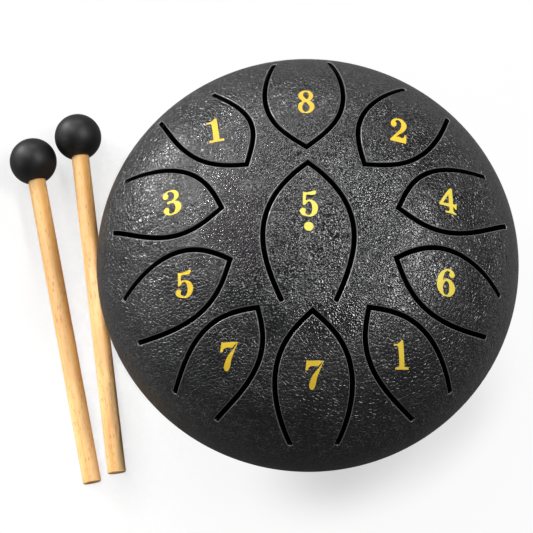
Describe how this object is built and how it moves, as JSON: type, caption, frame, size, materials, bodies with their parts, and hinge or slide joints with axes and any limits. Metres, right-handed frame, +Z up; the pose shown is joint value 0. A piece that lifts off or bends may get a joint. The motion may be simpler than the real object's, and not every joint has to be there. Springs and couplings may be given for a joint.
{
  "type": "steel tongue drum",
  "caption": "Round flattened steel drum whose domed top is slotted into tuned tongues, standing on rubber feet, with a pair of wooden ball mallets beside it.",
  "frame": {"origin": "on the table under the middle of the whole set; the drum's axis stands at +0.020 m on X", "axes": "+X from the mallets towards the drum, +Y away from the player, +Z up"},
  "size_m": [0.192, 0.152, 0.0869],
  "materials": {
    "drum_coat": "black textured baked coat on sheet steel",
    "seam_coat": "ground weld under the same black coat, smoother",
    "foot_rubber": "matte moulded rubber",
    "ball_rubber": "satin moulded rubber",
    "stick_wood": "plain sanded pale wood",
    "number_print": "yellow printed numbers"
  },
  "bodies": {
    "drum": {"top_shell": "drum_coat", "bottom_shell": "drum_coat", "seam_weld": "seam_coat", "foot_rear": "foot_rubber", "foot_front_left": "foot_rubber", "foot_front_right": "foot_rubber"},
    "left_mallet": {"left_mallet_head": "ball_rubber", "left_mallet_stick": "stick_wood"},
    "right_mallet": {"right_mallet_head": "ball_rubber", "right_mallet_stick": "stick_wood"}
  },
  "joints": [
    {"name": "left_mallet_lift", "type": "slide", "parent": "drum", "child": "left_mallet", "axis": [-0.1736, 0, 0.9848], "range_m": [0, 0.12]},
    {"name": "right_mallet_lift", "type": "slide", "parent": "drum", "child": "right_mallet", "axis": [-0.1736, 0, 0.9848], "range_m": [0, 0.12]}
  ]
}
